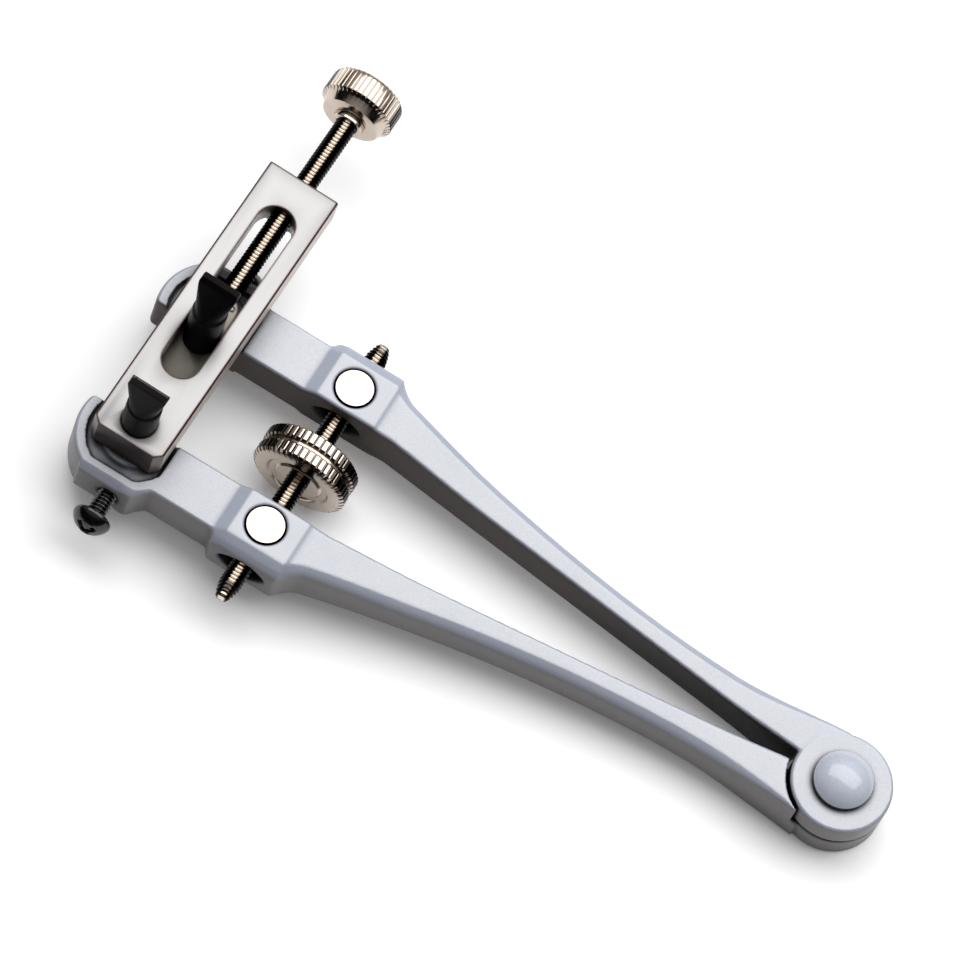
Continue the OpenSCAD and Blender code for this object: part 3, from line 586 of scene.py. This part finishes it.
wheel_r = (wheel_high[2] - wheel_low[2]) / 2
wheel_half = (wheel_high[1] - wheel_low[1]) / 2
bore_play = 0.02 * mm
ridge_count = 44
wheel_depth = 0.45 * mm
wheel_bevel = 0.5 * mm
groove_half = 0.42 * mm
groove_r = wheel_r - 0.75 * mm
dish_depth = 0.35 * mm
dish_edge = 0.12 * mm
dish = [(wheel_half, cross_r + bore_play, 0), (wheel_half, 4.2 * mm, 0),
        (wheel_half - dish_edge, 4.4 * mm, 0), (wheel_half - dish_depth, 4.6 * mm, 0),
        (wheel_half - dish_depth, 5.6 * mm, 0), (wheel_half - dish_edge, 5.85 * mm, 0),
        (wheel_half, 6.05 * mm, 0), (wheel_half, wheel_r - 1.0 * mm, 0)]
band = [(wheel_half - 0.08 * mm, wheel_r - wheel_bevel, 0.5), (wheel_half - wheel_bevel, wheel_r, 1),
        (wheel_half - wheel_bevel - 0.1 * mm, wheel_r, 1), (groove_half + 0.3 * mm, wheel_r, 1),
        (groove_half, wheel_r - 0.25 * mm, 0.6), (groove_half - 0.15 * mm, groove_r, 0)]
near_half = dish + band
far_half = [(-along, radius, share) for along, radius, share in reversed(near_half)]
# Its plate has a painted dark reflection along both sides of the wheel
wheel_plate = plated("wheel_nickel_plate", cross_place, cross_axis, (0.62 * wheel_r, 0.72 * wheel_r))
wheel = knurled(near_half + far_half + near_half[:1], ridge_count, wheel_depth, cross_place, cross_axis,
                wheel_plate, "knurled_wheel", "thumb_wheel")
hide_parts("thumb_wheel")


# Head bar
# A flat steel bar, milled with a slot and a guide channel, its corners nipped off at the near
# end. It is satin nickel plated: the top mirrors the light; the ends and sides are painted dark, a painted
# reflection.
bar_joint = next(j for j in frame["record"]["behaviour"]["joints"] if j["name"] == "lead_screw_spin")
head_axis = Vector(bar_joint["axis"]).normalized()
head_place = Vector(bar_joint["pos_m"])


# Satin nickel over a milled face: faint lines along the bar, tones painted by how each face leans as a
# painted reflection, a dark brown line of painted shade at each edge, painted shade in the slot, and a near
# end painted from black to brown towards its foot
def satin_nickel(name, upright_tone, level_tone):
    """Satin nickel plate, with the painted tones of its upright and its level faces."""
    stroke_mm = (0.08, 6, 0.5)
    edge_mm = 0.7
    nook_mm = 7
    near_end_top = 15.5 * mm
    near_end_foot = 9.8 * mm
    material, tree, shader, coords = surface(name)
    brush = add(tree, "ShaderNodeMapping",
                {"Vector": coords, "Scale": [1 / (size * mm) for size in stroke_mm]})
    brush_lines = add(tree, "ShaderNodeTexNoise", {"Vector": brush.outputs[0], "Scale": 1.0, "Detail": 3.0})
    dull = add(tree, "ShaderNodeMapRange", {"Value": brush_lines.outputs[0], 3: 0.32, 4: 0.42})
    tree.links.new(dull.outputs[0], shader.inputs["Roughness"])
    face = add(tree, "ShaderNodeNewGeometry").outputs["True Normal"]
    facing = add(tree, "ShaderNodeSeparateXYZ", {0: face})
    # Painted reflection: level faces light, upright faces and slopes dark
    upright = add(tree, "ShaderNodeValToRGB", {"Fac": facing.outputs["Z"]},
                  stops=((0.1, linear(upright_tone)), (0.2, linear("#3a0f0b")), (0.9, linear("#3a0f0b")),
                         (0.97, linear(level_tone))))
    # Painted reflection on the near end: black at the top, fading to brown at its foot
    near_share = add(tree, "ShaderNodeMapRange", {"Value": facing.outputs["Y"], 1: -0.4, 2: -0.9})
    level = add(tree, "ShaderNodeSeparateXYZ", {0: coords})
    near_fade = add(tree, "ShaderNodeMapRange",
                    {"Value": level.outputs["Z"], 1: near_end_top, 2: near_end_foot})
    near_tone = add(tree, "ShaderNodeMix",
                    {0: near_fade.outputs[0], 6: linear("#140d0b"), 7: linear("#463a34")}, data_type="RGBA")
    tint = add(tree, "ShaderNodeMix",
               {0: near_share.outputs[0], 6: upright.outputs[0], 7: near_tone.outputs[2]}, data_type="RGBA")
    # Painted shade: a dark brown line along each rounded edge
    rounded = add(tree, "ShaderNodeBevel", {"Radius": edge_mm * mm}, samples=8)
    edge_turn = add(tree, "ShaderNodeVectorMath", {0: rounded.outputs[0], 1: face}, operation="DOT_PRODUCT")
    edge_share = add(tree, "ShaderNodeMapRange", {"Value": edge_turn.outputs["Value"], 1: 0.97, 2: 0.86})
    edged = add(tree, "ShaderNodeMix", {0: edge_share.outputs[0], 6: tint.outputs[2], 7: linear("#3a0f0b")},
                data_type="RGBA")
    # Painted shade in the slot and the other nooks
    nook = add(tree, "ShaderNodeAmbientOcclusion", {"Distance": nook_mm * mm}, samples=6)
    painted_nook_shade = add(tree, "ShaderNodeMapRange",
                    {"Value": nook.outputs["AO"], 1: 0.2, 2: 0.56, 3: 0.06, 4: 1.0})
    nooked = add(tree, "ShaderNodeMix", {0: 1.0, 6: edged.outputs[2], 7: painted_nook_shade.outputs[0]},
                 data_type="RGBA", blend_type="MULTIPLY")
    tree.links.new(nooked.outputs[2], shader.inputs["Base Color"])
    brush_bump = add(tree, "ShaderNodeBump",
                     {"Height": brush_lines.outputs[0], "Strength": 0.1, "Distance": 0.004 * mm})
    tree.links.new(brush_bump.outputs[0], shader.inputs["Normal"])
    shader.inputs["Metallic"].default_value = 0.35
    return material


bar_nickel = satin_nickel("satin_nickel_bar", "#c9bfb6", "#b5b3b1")
bar = machined("head_bar", "slotted_bar", bar_nickel, "head_bar", edge=0.1 * mm)
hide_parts("head_bar")


# Slide
# A steel block that runs in the bar's slot and carries the far bit, painted darker as the slot's shade.
# A thin clip drops into it over the groove of the lead screw, so that the screw pulls it both ways.
# A shaded copy of the bar's satin nickel: darker tones as painted shade
slide_nickel = satin_nickel("shaded_nickel_slide", "#2a2422", "#7a7468")
block = machined("slide_block", "slide", slide_nickel, "slide_block", edge=0.1 * mm)
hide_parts("slide_block")
clip = machined("lead_screw_clip", "journal_clip", bar_nickel, "slide_block", edge=0.06 * mm)
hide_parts("lead_screw_clip")


# Bits
# Tool steel, turned to a round body, ground to a flared blade that fits the notches of a watch
# back, hardened and blackened.

# Black oxide on steel: nearly no sheen, a mottled black, and grey metal where corners are worn
def black_oxide(name, dull, gloss):
    """Black oxide, with the range of its roughness and the strength of its shine."""
    mottle_mm = 0.9
    grain_mm = 0.1
    material, tree, shader, coords = surface(name)
    mottle = add(tree, "ShaderNodeTexNoise",
                 {"Vector": coords, "Scale": 1 / (mottle_mm * mm), "Detail": 4.0})
    tint = add(tree, "ShaderNodeMix", {0: mottle.outputs[0], 6: linear("#060505"), 7: linear("#120f10")},
               data_type="RGBA")
    corners = add(tree, "ShaderNodeNewGeometry").outputs["Pointiness"]
    worn_share = add(tree, "ShaderNodeMapRange", {"Value": corners, 1: 0.53, 2: 0.62, 3: 0.0, 4: 0.7})
    worn_tint = add(tree, "ShaderNodeMix",
                    {0: worn_share.outputs[0], 6: tint.outputs[2], 7: linear("#5a5454")}, data_type="RGBA")
    tree.links.new(worn_tint.outputs[2], shader.inputs["Base Color"])
    dullness = add(tree, "ShaderNodeMapRange", {"Value": mottle.outputs[0], 3: dull[0], 4: dull[1]})
    tree.links.new(dullness.outputs[0], shader.inputs["Roughness"])
    grain = add(tree, "ShaderNodeTexNoise", {"Vector": coords, "Scale": 1 / (grain_mm * mm), "Detail": 2.0})
    grain_bump = add(tree, "ShaderNodeBump",
                     {"Height": grain.outputs[0], "Strength": 0.2, "Distance": 0.006 * mm})
    tree.links.new(grain_bump.outputs[0], shader.inputs["Normal"])
    shader.inputs["Specular IOR Level"].default_value = gloss
    return material


black = black_oxide("black_oxide_steel", dull=(0.28, 0.42), gloss=0.04)
bit_grain = 0.14 * mm
for node_name, name, body in (("fixed_bit", "near_bit", "head_bar"),
                              ("slide_bit", "far_bit", "slide_block")):
    bit_shape = tumbled(merged_copy(node_name), bit_grain, passes=2)
    bit = finished(name, bit_shape, black, body, smooth_angle=180)
    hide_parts(node_name)
bit_screw = machined("slide_bit_screw", "bit_screw", black, "slide_block", edge=0.08 * mm)
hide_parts("slide_bit_screw")


# Lead screw
# An M4 screw of nickel plated steel. Its plain, grooved end turns in the slide, its thread
# runs in the end wall of the bar.
lead_low, lead_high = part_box("lead_screw")
lead_start = (lead_low[1] - head_place.y) / head_axis.y
lead_end = (lead_high[1] - head_place.y) / head_axis.y
lead_r = (lead_high[2] - lead_low[2]) / 2
journal_r = 1.5 * mm
neck_r = 1 * mm
journal_l = 4.2 * mm
clip_low, clip_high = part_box("lead_screw_clip")
neck_from = (clip_low[1] - head_place.y) / head_axis.y
neck_to = (clip_high[1] - head_place.y) / head_axis.y
thread_start = lead_start + journal_l
chamfer_l = 0.4 * mm
lead_thread = threaded_rod(thread_start, lead_end, lead_r, hand=1, cone_start=chamfer_l)
journal = turned([(0, lead_start), (journal_r, lead_start), (journal_r, neck_from),
                  (neck_r, neck_from), (neck_r, neck_to), (journal_r, neck_to),
                  (journal_r, thread_start), (0, thread_start)], segments=48)
lead_shape = placed(joined(lead_thread, journal), head_place, head_axis)
# Painted crest highlights, root shade and a dark reflection along both sides of the screw
lead_plate = plated_thread("lead_screw_nickel_plate", head_place, head_axis, (0.18 * lead_r, 0.34 * lead_r))
lead_screw = finished("adjusting_screw", lead_shape, lead_plate, "lead_screw", smooth_angle=50)
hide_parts("lead_screw")


# Knob
# Turned from steel with a fine straight knurl, a sloped inner end and a rounded rim, nickel
# plated. A thin collar locks it on the screw, and a set screw pins it.
knob_low, knob_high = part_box("lead_knob")
knob_r = (knob_high[2] - knob_low[2]) / 2
knob_l = 6.8 * mm
knob_past_screw = 1.22 * mm
knob_at = lead_end + knob_past_screw - knob_l
knob_bore = lead_r + bore_play
knob_depth = 0.17 * mm
center_dimple_r = 0.3 * mm
end_dish = 0.3 * mm
dimple_depth = 1.2 * mm
inner_end = [(0, knob_bore, 0), (0, knob_r - 1.7 * mm, 0), (0.12 * mm, knob_r - 1.45 * mm, 0),
             (1.5 * mm, knob_r - 0.75 * mm, 0), (1.8 * mm, knob_r - 0.5 * mm, 0.3),
             (2.15 * mm, knob_r - 0.08 * mm, 1), (2.3 * mm, knob_r, 1)]
rim = [(knob_l - 0.9 * mm, knob_r, 1), (knob_l - 0.55 * mm, knob_r - 0.12 * mm, 0.8),
       (knob_l - 0.25 * mm, knob_r - 0.35 * mm, 0.3), (knob_l - 0.05 * mm, knob_r - 0.75 * mm, 0)]
outer_end = [(knob_l, knob_r - 1.2 * mm, 0), (knob_l, knob_r * 0.5, 0),
             (knob_l - end_dish, knob_r * 0.45, 0), (knob_l - end_dish, center_dimple_r, 0),
             (knob_l - dimple_depth, center_dimple_r, 0), (knob_l - dimple_depth, knob_bore, 0)]
# Its plate has a painted dark reflection along both sides of the knob's rim
knob_plate = plated("knob_nickel_plate", head_place, head_axis, (0.84 * knob_r, 0.9 * knob_r))
knob = knurled(inner_end + rim + outer_end + inner_end[:1], ridge_count, knob_depth,
               head_place + head_axis * knob_at, head_axis, knob_plate, "knurled_knob", "lead_screw")
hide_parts("lead_knob")
collar = machined("knob_collar", "lock_collar", nickel, "lead_screw", edge=0.15 * mm)
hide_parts("knob_collar")


# Set screws
# Tiny grub screws of blackened steel with a six-sided socket. They are sunk in the wheel and
# in the knob and pin them to their screws.
for node_name, name, body in (("wheel_set_screw", "wheel_grub", "thumb_wheel"),
                              ("knob_set_screw", "knob_grub", "lead_screw")):
    grub = machined(node_name, name, black, body, edge=0.04 * mm)
    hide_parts(node_name)


# Clamp screws
# Blackened pan-head screws with a cross recess. The lower one bears on the near bit, and the
# upper one is run home, because its socket is empty.
glossy_black = black_oxide("glossy_black_oxide", dull=(0.12, 0.22), gloss=0.6)
clamp_head_h = 3.2 * mm
head_grain = 0.11 * mm
clamp_shank_r = 1.75 * mm
shank_overlap = 0.15 * mm
for side, out in (("lower", -1), ("upper", 1)):
    screw_low, screw_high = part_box(side + "_clamp_screw")
    outer_y, tip_y = (screw_low[1], screw_high[1]) if out < 0 else (screw_high[1], screw_low[1])
    head_y = outer_y - out * clamp_head_h
    middle_x = (screw_low[0] + screw_high[0]) / 2
    middle_z = (screw_low[2] + screw_high[2]) / 2
    head = merged_copy(side + "_clamp_screw")
    bmesh.ops.bisect_plane(head, geom=head.verts[:] + head.edges[:] + head.faces[:], dist=0.0005 * mm,
                           plane_co=(0, head_y, 0), plane_no=(0, -out, 0), clear_outer=True)
    bmesh.ops.holes_fill(head, edges=[e for e in head.edges if e.is_boundary], sides=0)
    worn_head = tumbled(head, head_grain, passes=2)
    shank_l = abs(tip_y - head_y) + shank_overlap
    shank = threaded_rod(0, shank_l, clamp_shank_r, hand=1, cone_end=chamfer_l)
    shank_place = (middle_x, head_y + out * shank_overlap, middle_z)
    screw_shape = joined(worn_head, placed(shank, shank_place, (0, -out, 0)))
    clamp = finished(side + "_clamp", screw_shape, glossy_black, side + "_clamp_screw", smooth_angle=50)
    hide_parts(side + "_clamp_screw")
